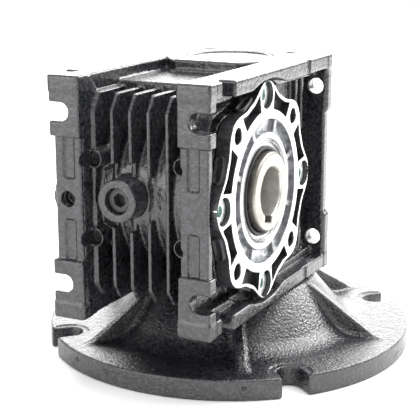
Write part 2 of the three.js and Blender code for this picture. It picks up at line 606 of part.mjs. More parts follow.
// ---- motor flange, about the Z axis at the worm -------------------------------------
function motorFlange() {
  const { pilot, pilotDepth, hub, hubRadius, slotCircle, slotRadius, mouthHalf, ribs, ribHalf } = FLANGE;
  const body = turned('z', [
    [hub, 22], [50, 10], [57, pilotDepth], [pilot, pilotDepth], [pilot, 0], [FLANGE_RADIUS, 0],
    [FLANGE_RADIUS, FLANGE_RIM], [72, FLANGE_RIM], [66, FLANGE_RIM + 3], [hubRadius, HUB_TOP], [hub, HUB_TOP],
  ], 56);
  const crest = [[89, FLANGE_RIM], [50, HUB_TOP - 0.4], [44, HUB_TOP - 0.4]];
  const rib = i => rotatedZ(prism('y', [[48, 14], [80, 9], ...crest], -ribHalf, ribHalf), i * 360 / ribs);
  const screwReach = Math.SQRT2 * FLANGE_SCREW.offset;
  const mouth = FLANGE_RADIUS + 5;
  const slot = [...arc(slotCircle, 0, slotRadius, 90, 270, 10), [mouth, -mouthHalf], [mouth, mouthHalf]];
  const cuts = [0, 1, 2, 3].flatMap(i => [
    prism('z', slot, -1, FLANGE_RIM + 5),
    disc('z', screwReach, 0, FLANGE_SCREW.head + 0.8, -1, FLANGE_SCREW.seat, 16),
    disc('z', screwReach, 0, FLANGE_SCREW.shank + 0.3, 0, HUB_TOP + 1, SMALL),
  ].map(each => rotatedZ(each, 45 + 90 * i)));
  return cut(joined(body, ...Array.from({ length: ribs }, (_, i) => rib(i))), ...cuts);
}

function flangeGasket() {
  const [low, high] = [HOUSING_BOTTOM - 0.5, HOUSING_BOTTOM - 0.1];
  const screwReach = Math.SQRT2 * FLANGE_SCREW.offset;
  const hole = disc('z', screwReach, 0, FLANGE_SCREW.shank + 0.5, low - 1, high + 1, SMALL);
  const cuts = [0, 1, 2, 3].map(i => rotatedZ(hole, 45 + 90 * i));
  return cut(ring('z', FLANGE.hub, 39.5, low, high, ROUND), ...cuts);
}

// ---- assembly -----------------------------------------------------------------------
function piece(name, body, material) {
  const mesh = new THREE.Mesh(geometryOf(body), material);
  mesh.name = name;
  return mesh;
}

const gearbox = new THREE.Group();

gearbox.add(piece('housing', housing(), LOOKS.enamel));

// Output side, measured from the output axis.
const output = new THREE.Group();
output.position.set(0, OUTPUT_Y, OUTPUT_Z);
output.add(piece('side_cover', sideCover(), LOOKS.machined));
output.add(piece('cover_gasket', coverGasket(), LOOKS.gasket));
output.add(piece('output_shaft', outputShaft(), LOOKS.steel));
output.add(piece('worm_wheel_rim', wheelRim(), LOOKS.bronze));
for (const [label, side] of [['front', 1], ['rear', -1]]) {
  const set = bearing('x', OUTPUT_BEARING);
  const parts = new THREE.Group();
  parts.position.x = side * OUTPUT_BEARING_X;
  parts.add(piece(`output_bearing_${label}_inner`, set.inner, LOOKS.steel));
  parts.add(piece(`output_bearing_${label}_outer`, set.outer, LOOKS.steel));
  parts.add(piece(`output_bearing_${label}_balls`, set.balls, LOOKS.steel));
  output.add(parts);
  const inside = side * (BOSS_RING.face - SEAL_WIDTH);
  const span = [inside, side * (BOSS_RING.face - 0.2)].sort((a, b) => a - b);
  const lip = seal('x', SHAFT.radius + SEAL_FIT, BOSS_RING.inner - FIT, ...span, side);
  output.add(piece(`output_seal_${label}`, lip, LOOKS.rubber));
}
for (let i = 0; i < 4; i += 1) {
  const { sunk, headHeight, length } = COVER_SCREW;
  const screw = piece(`cover_screw_${i + 1}`, socketScrew(COVER_SCREW, length), LOOKS.zinc);
  const a = rad(90 * i);
  const seat = FACE_X - sunk - headHeight + 0.05;
  screw.position.set(seat, SCREW_CIRCLE * Math.cos(a), SCREW_CIRCLE * Math.sin(a));
  screw.rotation.y = Math.PI / 2;
  output.add(screw);
}
gearbox.add(output);

// Input side, measured from the worm axis.
const input = new THREE.Group();
input.position.set(0, WORM_Y, 0);
input.add(piece('worm_shaft', wormShaft(), LOOKS.steel));
const WORM_BEARINGS = [['input', INPUT_BEARING, INPUT_BEARING_Z], ['rear', REAR_BEARING, REAR_BEARING_Z]];
for (const [label, spec, z] of WORM_BEARINGS) {
  const set = bearing('z', spec);
  const parts = new THREE.Group();
  parts.position.z = z;
  parts.add(piece(`worm_bearing_${label}_inner`, set.inner, LOOKS.steel));
  parts.add(piece(`worm_bearing_${label}_outer`, set.outer, LOOKS.steel));
  parts.add(piece(`worm_bearing_${label}_balls`, set.balls, LOOKS.steel));
  input.add(parts);
}
const SNAP_RING = { thick: 1.3, inputInner: 23, rearInner: 19.5 };
const inputSnap = [INPUT_RACE.outside - SNAP_RING.thick - 0.1, INPUT_RACE.outside - 0.1];
const rearSnap = [REAR_RACE.outside + 0.1, REAR_RACE.outside + 0.1 + SNAP_RING.thick];
const sealTop = inputSnap[0] - 0.3;
const inputSnapRing = snapRing(SNAP_RING.inputInner, INPUT_BEARING.outer, ...inputSnap);
const rearSnapRing = snapRing(SNAP_RING.rearInner, REAR_BEARING.outer, ...rearSnap);
const sealSpan = [sealTop - SEAL_WIDTH, sealTop];
const inputSeal = seal('z', INPUT_BEARING.bore + SEAL_FIT, INPUT_BEARING.outer, ...sealSpan, -1);
input.add(piece('input_snap_ring', inputSnapRing, LOOKS.steel));
input.add(piece('rear_snap_ring', rearSnapRing, LOOKS.steel));
input.add(piece('input_seal', inputSeal, LOOKS.rubber));
input.add(piece('rear_end_cap', turned('z', [
  [0, REAR_RACE.outside + 2], [REAR_BEARING.outer, REAR_RACE.outside + 2],
  [REAR_BEARING.outer, HOUSING_TOP - 0.4], [REAR_BEARING.outer - 2, HOUSING_TOP - 0.1],
  [0, HOUSING_TOP - 0.1],
], ROUND), LOOKS.rubber));
input.add(piece('motor_flange', motorFlange(), LOOKS.enamel));
input.add(piece('flange_gasket', flangeGasket(), LOOKS.gasket));
for (let i = 0; i < 4; i += 1) {
  const { offset, seat, top } = FLANGE_SCREW;
  const screw = piece(`flange_screw_${i + 1}`, socketScrew(FLANGE_SCREW, top - seat), LOOKS.zinc);
  const a = rad(45 + 90 * i);
  const reach = Math.SQRT2 * offset;
  screw.position.set(reach * Math.cos(a), reach * Math.sin(a), seat - 0.1);
  screw.rotation.x = Math.PI;
  input.add(screw);
}
gearbox.add(input);

// Headless oil plug with a hexagon socket, sunk in the boss between the fins.
const plugBody = piece('oil_plug', cut(
  disc('z', 0, 0, PLUG.hole - FIT, -PLUG.length, 0, ROUND),
  disc('z', 0, 0, PLUG.socket, -5, 1, 6),
), LOOKS.zinc);
plugBody.position.set(PLUG.x, PLUG.front + PLUG.depth, PLUG.z);
plugBody.rotation.x = Math.PI / 2;
gearbox.add(plugBody);

export default gearbox;
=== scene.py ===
"""Looks for a worm gearbox that stands on its motor adapter flange.

Every cast or machined piece is an implicit solid: a signed distance, in millimetres, built from
slabs, discs and cones that meet with a rounded edge and join with a fillet, as a casting does.
skin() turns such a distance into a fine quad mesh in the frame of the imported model.
"""
import json
import math

import bpy
import numpy as np
from mathutils import Matrix, Vector


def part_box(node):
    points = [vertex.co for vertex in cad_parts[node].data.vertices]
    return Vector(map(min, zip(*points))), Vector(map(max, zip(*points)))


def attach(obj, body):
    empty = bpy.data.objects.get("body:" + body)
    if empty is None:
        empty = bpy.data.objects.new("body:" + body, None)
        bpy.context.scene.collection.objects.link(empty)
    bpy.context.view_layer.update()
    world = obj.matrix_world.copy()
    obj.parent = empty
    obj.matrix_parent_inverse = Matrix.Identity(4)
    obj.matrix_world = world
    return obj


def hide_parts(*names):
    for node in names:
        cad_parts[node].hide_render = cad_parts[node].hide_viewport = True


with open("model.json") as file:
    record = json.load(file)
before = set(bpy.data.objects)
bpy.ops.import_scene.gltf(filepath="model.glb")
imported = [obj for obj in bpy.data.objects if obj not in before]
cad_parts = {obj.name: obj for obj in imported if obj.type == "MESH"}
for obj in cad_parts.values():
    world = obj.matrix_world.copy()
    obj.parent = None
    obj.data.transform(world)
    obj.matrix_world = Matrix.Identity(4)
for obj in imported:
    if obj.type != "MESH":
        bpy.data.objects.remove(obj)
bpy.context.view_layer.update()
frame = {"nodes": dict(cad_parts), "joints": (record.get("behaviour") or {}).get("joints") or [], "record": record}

MM = 0.001
JOINTS = {joint["name"]: joint for joint in frame["joints"]}


def box_mm(node):
    low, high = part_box(node)
    return [c / MM for c in low], [c / MM for c in high]


# ---- places taken from the frame, in millimetres ------------------------------------------
(_, FRONT, BOTTOM), (RAIL_OUTER, BACK, TOP) = box_mm("housing")
_, OUT_Y, OUT_Z = [c / MM for c in JOINTS["wheel_spin"]["pos_m"]]
WORM_Y = JOINTS["worm_spin"]["pos_m"][1] / MM
HALF_HEIGHT = (TOP - BOTTOM) / 2
FACE = box_mm("side_cover")[1][0]
SHAFT_END = box_mm("output_shaft")[1][0]
FLANGE_RADIUS = box_mm("motor_flange")[1][0]
HUB_TOP = box_mm("motor_flange")[1][2]

# ---- dimensions of the castings, in millimetres -------------------------------------------
LUG = {"inner": 26, "outer": 43, "height": 29.5, "thick": 7, "corner_thick": 13.7, "corner_height": 7.7}
SLOT = {"radius": 4.5, "centre": 36.7, "offset": 42.5}
STRIP = {"inner": 26.6, "outer": 41.3, "set_back": 1.8, "thick": 4.7}
STRIP_POCKET = {"inner": 30.4, "outer": 36.6, "low": 10, "high": 34, "depth": 1.4}
PLATE = {"thick": 7, "ear": 46.2, "middle": 44.6, "ear_height": 31}
RAIL = {"inner": 27, "thick": 7.7, "front": FRONT + 20, "wall_outer": 38, "wall_depth": 11.5}
FIN = {"pitch": 10, "outermost": 2.5, "half": 1.05, "front": FRONT + 11, "back": FRONT + 42, "inset": 8.9}
CASE = {"half": 32, "front": FRONT + 14.5, "floor": 6.3}
COVER_THICK = 7.5
DRUM_X = FACE - COVER_THICK - 0.5
LOBE = {"big": 55, "small": 53.5, "big_radius": 9.4, "small_radius": 8.2, "valley": 48.9, "fillet": 7.5}
SCREW_CIRCLE, TAPPED_CIRCLE, TAPPED_RADIUS = 48, 46.5, 3.9
POCKET = {"inner": 40.7, "rim": 1.9, "half": 12.5, "depth": 4.8}
PILOT, BOSS_INNER, BOSS_OUTER = 36, 26.1, 29.5
BOSS_FACE, RECESS_FLOOR = FACE - 0.8, FACE - 3.6
WHEEL_BORE, CLEARANCE = 41.5, 56
SHAFT = {"radius": 20, "bore": 12.5, "shoulder": 24, "shoulder_half": 20, "web": 31, "web_half": 10}
KEY = {"half": 4, "top": 15.3, "angle": -103}
BEARING_OUTER, BEARING_END = 34.1, 35.4
PLUG = {"x": -7.5, "z": OUT_Z + 1.5, "boss": 10.4, "hole": 6.25, "clearing": 16.8, "front": FRONT + 2}
PIN = {"x": 24, "z": 19.5, "boss": 4.7, "radius": 3.7, "set_back": 8.5, "depth": 12}
FOOT_HOLE = {"x": 39.3, "z": 42.5, "radius": 4.25}
TOP_BOSS = {"half": 30, "chamfer": 12}
FOOT_BOSS = {"half": 34, "chamfer": 10, "height": 15}
WORM_ROOM = {"radius": 20, "input_seat": 27.6, "input_end": 59.7, "rear_seat": 23.6, "rear_start": 133.8}
STRIP_HOLE = {"x": -34.6, "radius": 3.8}
FLANGE = {"rim": 11, "cone_foot": (66, 14), "neck": 47, "ribs": 6, "rib_foot": (89, 11), "rib_top": 49,
          "rib_inner": 44, "slot_circle": 91, "slot": 6.5, "seat_circle": 92, "seat": 10.5, "hub": 30,
          "pilot": 65, "pilot_depth": 4.5}
PIPS = (-171, -158, -116, -103, -60, 20, 75, 140)
SCREW = {"head": 6.4, "counterbore": 6.8, "sunk": 2.4, "head_height": 3.1, "shank": 4, "length": 13}


# ---- distance fields ----------------------------------------------------------------------
def slab(t, low, high):
    return np.abs(t - (low + high) / 2) - (high - low) / 2


def meet(a, b, edge=0.0):
    """Where both solids are, with the edge between them rounded to this radius."""
    if edge == 0:
        return np.maximum(a, b)
    corner = np.hypot(np.maximum(a + edge, 0), np.maximum(b + edge, 0))
    return np.minimum(np.maximum(a, b), -edge) + corner


def join(a, b, fillet=0.0):
    """Where either solid is, with a fillet of this radius in the corner between them."""
    if fillet == 0:
        return np.minimum(a, b)
    corner = np.hypot(np.maximum(fillet - a, 0), np.maximum(fillet - b, 0))
    return np.maximum(np.minimum(a, b), fillet) - corner


def cut(a, b, edge=0.0):
    return meet(a, -b, edge)


def block(u, v, w, us, vs, ws, edge=1.0):
    return meet(meet(slab(u, *us), slab(v, *vs), edge), slab(w, *ws), edge)


def disc(u, v, w, centre, radius, ws, edge=0.0):
    return meet(np.hypot(u - centre[0], v - centre[1]) - radius, slab(w, *ws), edge)


def line(u, v, start, end):
    """Distance to the left of a line that runs from start to end: the right of it is inside."""
    du, dv = end[0] - start[0], end[1] - start[1]
    length = math.hypot(du, dv)
    return (-(u - start[0]) * dv + (v - start[1]) * du) / length


def folded(u, v, count, first=0.0):
    """Turns every one of count equal sectors onto the one at angle 0."""
    angle = np.arctan2(v, u) - math.radians(first)
    sector = 2 * math.pi / count
    angle = angle - sector * np.round(angle / sector)
    radius = np.hypot(u, v)
    return radius * np.cos(angle), radius * np.sin(angle)


def scallop(u, v):
    """A disc with eight lobes; those at 0, 90, 180 and 270 degrees are larger and reach further."""
    outline = np.hypot(u, v) - LOBE["valley"]
    for first, size in ((0, "big"), (45, "small")):
        s, t = folded(u, v, 4, first)
        radius = LOBE[size + "_radius"]
        outline = join(outline, np.hypot(s - LOBE[size] + radius, t) - radius, LOBE["fillet"])
    return outline


# ---- from a distance field to a mesh ------------------------------------------------------
def crossings(values, step, origin):
    """One point in each cell that the surface passes through, and the cells' numbering."""
    inside = values < 0
    total = sum(inside[i:i - 1 or None, j:j - 1 or None, k:k - 1 or None].astype(np.int8)
                for i in (0, 1) for j in (0, 1) for k in (0, 1))
    cells = np.argwhere((total > 0) & (total < 8))
    number = -np.ones(total.shape, np.int64)
    number[tuple(cells.T)] = np.arange(len(cells))
    sums, counts = np.zeros((len(cells), 3)), np.zeros(len(cells))
    for axis in range(3):
        others = [a for a in range(3) if a != axis]
        for first in (0, 1):
            for second in (0, 1):
                start = cells.copy()
                start[:, others[0]] += first
                start[:, others[1]] += second
                stop = start.copy()
                stop[:, axis] += 1
                a, b = values[tuple(start.T)], values[tuple(stop.T)]
                crossed = (a < 0) != (b < 0)
                share = np.where(crossed, a / np.where(crossed, a - b, 1), 0)
                point = (start - cells).astype(float)
                point[:, axis] += share
                sums += point * crossed[:, None]
                counts += crossed
    return (cells + sums / counts[:, None]) * step + origin, number, inside


def quads_of(number, inside):
    faces = []
    for axis in range(3):
        second, third = (axis + 1) % 3, (axis + 2) % 3
        low = [slice(1, -1)] * 3
        low[axis] = slice(0, -1)
        high = list(low)
        high[axis] = slice(1, None)
        near, far = inside[tuple(low)], inside[tuple(high)]
        at = np.argwhere(near != far)
        at[:, second] += 1
        at[:, third] += 1
        corners = []
        for back_second, back_third in ((1, 1), (0, 1), (0, 0), (1, 0)):
            cell = at.copy()
            cell[:, second] -= back_second
            cell[:, third] -= back_third
            corners.append(number[tuple(cell.T)])
        quads = np.stack(corners, 1)
        outward = near[near != far]
        quads[~outward] = quads[~outward][:, ::-1]
        faces.append(quads)
    return np.concatenate(faces)


def slopes(solid, points, reach=0.05):
    """The outward direction of the field at each point."""
    slope = np.empty_like(points)
    for axis in range(3):
        ahead, behind = points.copy(), points.copy()
        ahead[:, axis] += reach
        behind[:, axis] -= reach
        slope[:, axis] = (solid(*ahead.T) - solid(*behind.T)) / (2 * reach)
    return slope


def skin(name, solid, low, high, step):
    """A quad mesh of the solid, with its points on the surface and its normals from the field."""
    margin = 2 * step
    axes = [np.arange(l - margin, h + margin + step, step) for l, h in zip(low, high)]
    grids = np.meshgrid(*axes, indexing="ij", sparse=True)
    values = np.broadcast_to(solid(*grids), [len(a) for a in axes]).astype(np.float64)
    points, number, inside = crossings(values, step, np.array([a[0] for a in axes]))
    for _ in range(2):
        slope = slopes(solid, points)
        size = np.maximum((slope ** 2).sum(1), 0.25)
        move = slope * (solid(*points.T) / size)[:, None]
        points = points - np.clip(move, -0.6 * step, 0.6 * step)
    points = np.clip(points, low, high)
    quads = quads_of(number, inside)
    mesh = bpy.data.meshes.new(name)
    mesh.vertices.add(len(points))
    mesh.vertices.foreach_set("co", (points * MM).astype(np.float32).ravel())
    mesh.loops.add(quads.size)
    mesh.loops.foreach_set("vertex_index", quads.astype(np.int32).ravel())
    mesh.polygons.add(len(quads))
    mesh.polygons.foreach_set("loop_start", np.arange(0, quads.size, 4, dtype=np.int32))
    mesh.polygons.foreach_set("use_smooth", np.ones(len(quads), bool))
    mesh.update(calc_edges=True)
    mesh.validate()
    slope = slopes(solid, points)
    slope /= np.maximum(np.linalg.norm(slope, axis=1), 1e-6)[:, None]
    mesh.normals_split_custom_set_from_vertices(slope.tolist())
    piece = bpy.data.objects.new(name, mesh)
    bpy.context.scene.collection.objects.link(piece)
    return piece


def finish_by(piece, materials, choose):
    """Gives each face the material whose number choose returns for its middle and its normal."""
    mesh = piece.data
    for material in materials:
        mesh.materials.append(material)
    middles = np.empty(len(mesh.polygons) * 3, np.float32)
    normals = np.empty(len(mesh.polygons) * 3, np.float32)
    mesh.polygons.foreach_get("center", middles)
    mesh.polygons.foreach_get("normal", normals)
    numbers = choose(middles.reshape(-1, 3) / MM, normals.reshape(-1, 3))
    mesh.polygons.foreach_set("material_index", numbers.astype(np.int32))


# ---- the housing --------------------------------------------------------------------------
def lugs(across, y, up):
    """Front lugs, strips and webs: across is |x|, up is the height from the middle."""
    wide, high = (LUG["inner"], LUG["outer"]), (HALF_HEIGHT - LUG["height"], HALF_HEIGHT)
    ends = (HALF_HEIGHT - LUG["corner_height"], HALF_HEIGHT)
    body = block(across, y, up, wide, (FRONT, FRONT + LUG["thick"]), high, 1.1)
    body = join(body, block(across, y, up, wide, (FRONT, FRONT + LUG["corner_thick"]), ends, 1.1), 1.5)
    front = FRONT + STRIP["set_back"]
    strip = block(across, y, up, (STRIP["inner"], STRIP["outer"]), (front, front + STRIP["thick"]),
                  (-50, 50), 1.0)
    floor = front + STRIP_POCKET["depth"]
    hollow = block(across, y, up, (STRIP_POCKET["inner"], STRIP_POCKET["outer"]), (front - 5, floor),
                   (STRIP_POCKET["low"], STRIP_POCKET["high"]), 1.4)
    body = join(body, cut(strip, hollow, 0.5), 0.8)
    web = meet(slab(across, STRIP["inner"] - 0.6, CASE["half"]), slab(y, front + 2, FIN["back"]), 0.6)
    web = meet(web, up - HALF_HEIGHT, 0.8)
    slope = line(y, up, (front + 6, HALF_HEIGHT), (FIN["front"] + 8, HALF_HEIGHT - FIN["inset"]))
    web = meet(web, join(slope, up - HALF_HEIGHT + FIN["inset"]), 0.8)
    body = join(body, web, 1.2)
    slot = join(np.hypot(across - SLOT["centre"], up - SLOT["offset"]) - SLOT["radius"],
                meet(SLOT["centre"] - across, np.abs(up - SLOT["offset"]) - SLOT["radius"]))
    return cut(body, meet(slot, slab(y, FRONT - 2, FRONT + LUG["thick"] + 1.5)), 0.8)


def fins(x, y, up):
    limit = FIN["outermost"]
    column = np.clip(np.round(x / FIN["pitch"] - 0.5) + 0.5, -limit, limit)
    draft = 0.012 * (y - FIN["front"])
    across = np.abs(x - column * FIN["pitch"]) - FIN["half"] - draft
    high = HALF_HEIGHT - FIN["inset"]
    outline = meet(slab(y, FIN["front"], FIN["back"]), up - high, 0.6)
    corner = line(y, up, (FIN["front"], high - 7.8), (FIN["front"] + 5.5, high))
    return meet(meet(outline, corner, 0.8), across, 0.8)


def octagon(u, v, half, chamfer):
    u, v = np.abs(u), np.abs(v)
    return meet(meet(u - half, v - half), (u + v - 2 * half + chamfer) / math.sqrt(2), 1.0)


def case(x, y, z):
    across, up = np.abs(x), np.abs(z - OUT_Z)
    barrel = np.hypot(y - OUT_Y, z - OUT_Z) - (OUT_Y - CASE["front"])
    body = meet(barrel, slab(x, -CASE["half"], CASE["half"]), 1.0)
    upper = block(across, y, up, (-CASE["half"], CASE["half"]), (FIN["back"] - 3, 20),
                  (-HALF_HEIGHT + CASE["floor"], HALF_HEIGHT - CASE["floor"]), 1.5)
    back = block(across, y, up, (-28, 28), (10, BACK - 3), (-HALF_HEIGHT + 4, HALF_HEIGHT - 4), 2.0)
    body = join(join(body, upper, 3.0), back, 3.0)
    boss = meet(octagon(x, y - WORM_Y, **TOP_BOSS), slab(z, BOTTOM + 10, TOP), 1.2)
    foot = octagon(x, y - WORM_Y, FOOT_BOSS["half"], FOOT_BOSS["chamfer"])
    foot = meet(foot, slab(z, BOTTOM, BOTTOM + FOOT_BOSS["height"]), 1.2)
    return join(join(body, boss, 2.5), foot, 2.5)


def frame_parts(across, y, up):
    """The back plate with its ears, and the rails with the shelves that carry them."""
    plate = block(across, y, up, (-PLATE["middle"], PLATE["middle"]), (BACK - PLATE["thick"], BACK),
                  (-HALF_HEIGHT, HALF_HEIGHT), 1.4)
    ear = block(across, y, up, (20, PLATE["ear"]), (BACK - PLATE["thick"], BACK),
                (HALF_HEIGHT - PLATE["ear_height"], HALF_HEIGHT), 1.4)
    rail = block(across, y, up, (RAIL["inner"] + 1, RAIL_OUTER), (RAIL["front"], BACK - 1),
                 (HALF_HEIGHT - RAIL["thick"], HALF_HEIGHT), 1.2)
    groove = meet(slab(y, 1.6, 6.4), RAIL_OUTER - 0.9 - across, 0.3)
    rail = cut(rail, groove, 0.5)
    wall = block(across, y, up, (RAIL["inner"], RAIL["wall_outer"]), (FRONT + LUG["thick"] + 1, BACK - 1),
                 (HALF_HEIGHT - RAIL["wall_depth"], HALF_HEIGHT), 1.2)
    body = join(join(plate, ear, 2.0), join(rail, wall), 2.0)
    ribs = join(slab(y, 12.5, 15.5), slab(y, 20.5, 23.5))
    ribs = meet(ribs, slab(across, CASE["half"] - 6, CASE["half"] + 3.5), 0.8)
    ribs = meet(ribs, slab(up, 20, HALF_HEIGHT - 6))
    return join(body, ribs, 1.2)


def side_ring_cuts(u, v, depth):
    """Pockets and tapped holes of a scalloped face; depth is how far a point is below it."""
    outline = scallop(u, v) + POCKET["rim"]
    s, t = folded(u, v, 8, 22.5)
    side = math.radians(POCKET["half"])
    wedge = np.abs(t) * math.cos(side) - s * math.sin(side)
    pocket = meet(meet(POCKET["inner"] - np.hypot(u, v), outline, 0.8), wedge, 0.8)
    pocket = meet(pocket, slab(depth, -5, POCKET["depth"]))
    s, t = folded(u, v, 4, 45)
    hole = np.hypot(s - TAPPED_CIRCLE, t) - TAPPED_RADIUS
    chamfer = np.hypot(s - TAPPED_CIRCLE, t) - TAPPED_RADIUS - 0.7 + np.maximum(depth, 0)
    return pocket, join(meet(hole, slab(depth, -5, 13)), meet(chamfer, slab(depth, -5, 0.7)))


def pilot_recess(u, v, depth):
    """The ring-shaped recess inside a scalloped face, crossed by eight short blocks."""
    radius = np.hypot(u, v)
    recess = meet(slab(radius, BOSS_OUTER, PILOT), slab(depth, -5, FACE - RECESS_FLOOR))
    s, t = folded(u, v, 8, 22.5)
    blocks = meet(slab(t, -1.4, 1.4), slab(depth, 1.5, 9), 0.3)
    recess = cut(recess, blocks, 0.4)
    return join(recess, meet(radius - BOSS_OUTER - 1, slab(depth, -5, FACE - BOSS_FACE)))


def oval_pads(u, v, x):
    """A low raised oval on the wall of each valley between two lobes."""
    s, t = folded(u, v, 8, 22.5)
    oval = np.hypot(np.maximum(np.abs(t) - 4.2, 0), x - FACE + 4.4) - 2.0
    return meet(np.abs(oval) - 0.45, slab(s, 44, LOBE["valley"] + 1.1 + 0.012 * t * t), 0.3)


def housing(x, y, z):
    across, up = np.abs(x), np.abs(z - OUT_Z)
    u, v = y - OUT_Y, z - OUT_Z
    radius = np.hypot(u, v)
    body = join(case(x, y, z), fins(x, y, up), 1.6)
    drum = meet(scallop(u, v), slab(x, -FACE, DRUM_X), 0.5)
    body = join(body, meet(drum, CASE["half"] - 4 - across), 2.0)
    rest = join(lugs(across, y, up), frame_parts(across, y, up))
    rest = cut(rest, meet(radius - CLEARANCE, DRUM_X - across), 1.0)
    body = join(body, rest, 1.6)
    body = cut(body, meet(meet(radius - CLEARANCE, slab(x, -RAIL_OUTER - 2, -DRUM_X)), -scallop(u, v)), 0.6)
    clearing = disc(x, z, y, (PLUG["x"], PLUG["z"]), PLUG["clearing"], (FIN["front"] - 4, CASE["front"]))
    body = cut(body, clearing, 0.8)
    boss = disc(x, z, y, (PLUG["x"], PLUG["z"]), PLUG["boss"], (PLUG["front"], CASE["front"] + 2), 0.8)
    body = join(body, boss, 1.2)
    away = np.abs(up - PIN["z"])
    reach = (FRONT + PIN["set_back"], CASE["front"] + 8)
    body = join(body, disc(across, away, y, (PIN["x"], 0), PIN["boss"], reach, 0.6), 0.8)
    pin_depth = (FRONT - 5, FRONT + STRIP["set_back"] + PIN["depth"])
    holes = [
        disc(x, z, y, (PLUG["x"], PLUG["z"]), PLUG["hole"], (FRONT - 5, CASE["front"] + 8)),
        disc(across, away, y, (PIN["x"], 0), PIN["radius"], pin_depth),
        disc(x, z, y, (STRIP_HOLE["x"], OUT_Z), STRIP_HOLE["radius"], (FRONT - 5, FRONT + 8)),
        disc(across, up, y, (FOOT_HOLE["x"], FOOT_HOLE["z"]), FOOT_HOLE["radius"], (BACK - 9, BACK + 5)),
        disc(across, np.abs(y - WORM_Y), z, (24, 24), 4, (BOTTOM - 5, 51)),
    ]
    for hole in holes:
        body = cut(body, hole, 0.5)
    pocket, tapped = side_ring_cuts(u, v, x + FACE)
    body = cut(cut(body, pocket, 0.3), tapped, 0.2)
    body = cut(body, pilot_recess(u, v, x + FACE), 0.3)
    inside = join(meet(radius - WHEEL_BORE, slab(x, -18, DRUM_X + 5)),
                  meet(radius - BEARING_OUTER, slab(x, -BEARING_END, 0)))
    inside = join(inside, meet(radius - BOSS_INNER, slab(x, -FACE - 5, 0)))
    s, t = folded(u, v, 4, 45)
    tapped = np.hypot(s - TAPPED_CIRCLE, t) - TAPPED_RADIUS
    inside = join(inside, meet(tapped, slab(x, DRUM_X - 9, DRUM_X + 5)))
    s, t = folded(u, v, 4)
    inside = join(inside, meet(np.hypot(s - SCREW_CIRCLE, t) - 4, slab(x, DRUM_X - 11, DRUM_X + 5)))
    worm = np.hypot(x, y - WORM_Y)
    inside = join(inside, meet(worm - WORM_ROOM["radius"], slab(z, BOTTOM + 20, TOP - 20)))
    input_seat = meet(worm - WORM_ROOM["input_seat"], slab(z, BOTTOM - 5, WORM_ROOM["input_end"]))
    rear_seat = meet(worm - WORM_ROOM["rear_seat"], slab(z, WORM_ROOM["rear_start"], TOP + 5))
    inside = join(join(inside, input_seat), rear_seat)
    return cut(body, inside, 0.3)


# ---- the output cover ---------------------------------------------------------------------
def side_cover(x, y, z):
    u, v = y - OUT_Y, z - OUT_Z
    radius = np.hypot(u, v)
    plate = meet(scallop(u, v), slab(x, FACE - COVER_THICK, FACE), 0.5)
    plate = join(plate, oval_pads(u, v, x), 0.3)
    spigot = meet(radius - WHEEL_BORE + 0.2, slab(x, SHAFT["shoulder_half"] - 1, FACE - 5))
    body = join(plate, spigot)
    depth = FACE - x
    pocket, tapped = side_ring_cuts(u, v, depth)
    body = cut(cut(body, pocket, 0.25), tapped, 0.2)
    body = cut(body, pilot_recess(u, v, depth), 0.25)
    s, t = folded(u, v, 4)
    head = np.hypot(s - SCREW_CIRCLE, t)
    floor = SCREW["sunk"] + SCREW["head_height"]
    body = cut(body, meet(head - SCREW["counterbore"], slab(depth, -5, floor)), 0.25)
    body = cut(body, meet(head - SCREW["shank"], slab(depth, -5, COVER_THICK + 2)))
    body = cut(body, meet(radius - BEARING_OUTER, slab(x, 0, BEARING_END)))
    return cut(body, meet(radius - BOSS_INNER, slab(x, 0, FACE + 5)), 0.3)


# ---- the motor flange ---------------------------------------------------------------------
def motor_flange(x, y, z):
    y = y - WORM_Y
    radius = np.hypot(x, y)
    rim = meet(radius - FLANGE_RADIUS, slab(z, 0, FLANGE["rim"]), 1.0)
    cone = -line(radius, z, FLANGE["cone_foot"], (FLANGE["neck"], HUB_TOP))
    cone = meet(cone, slab(z, 3, HUB_TOP), 1.0)
    s, t = folded(x, y, FLANGE["ribs"])
    crest = -line(s, z, FLANGE["rib_foot"], (FLANGE["rib_top"], HUB_TOP - 0.4))
    rib = meet(meet(np.abs(t) - 2.1 - 0.03 * (HUB_TOP - z), crest, 1.0), slab(z, 4, HUB_TOP - 0.4), 1.0)
    rib = meet(rib, FLANGE["rib_inner"] - s)
    body = join(join(rim, cone, 6.0), rib, 2.5)
    s, t = folded(x, y, 4, 45)
    seat = disc(s, t, z, (FLANGE["seat_circle"], 0), FLANGE["seat"], (FLANGE["rim"] - 0.5, 20))
    body = cut(body, seat, 0.4)
    out = s - FLANGE["slot_circle"]
    flare = FLANGE["slot"] + 0.065 * np.maximum(out, 0)
    slot = join(np.hypot(out, t) - FLANGE["slot"], meet(np.abs(t) - flare, -out))
    body = cut(body, slot, 0.8)
    spot = np.hypot(s - 24 * math.sqrt(2), t)
    body = cut(body, meet(spot - 7.2, slab(z, -5, 28)), 0.3)
    body = cut(body, meet(spot - 4.2, slab(z, -5, 50)), 0.3)
    floor = FLANGE["pilot_depth"]
    hollow = meet(-line(radius, z, (57, floor), (50, 10)), -line(radius, z, (50, 10), (FLANGE["hub"], 22)))
    hollow = join(hollow, meet(radius - FLANGE["pilot"], slab(z, -5, floor)))
    hollow = join(hollow, meet(radius - FLANGE["hub"], slab(z, -5, 50)))
    body = cut(body, hollow, 0.5)
    for pip in PIPS:
        a = math.radians(pip)
        middle = (FLANGE_RADIUS * math.cos(a), FLANGE_RADIUS * math.sin(a), 6.5)
        mark = np.sqrt((x - middle[0]) ** 2 + (y - middle[1]) ** 2 + (z - middle[2]) ** 2) - 1.1
        body = cut(body, mark, 0.3)
    return body


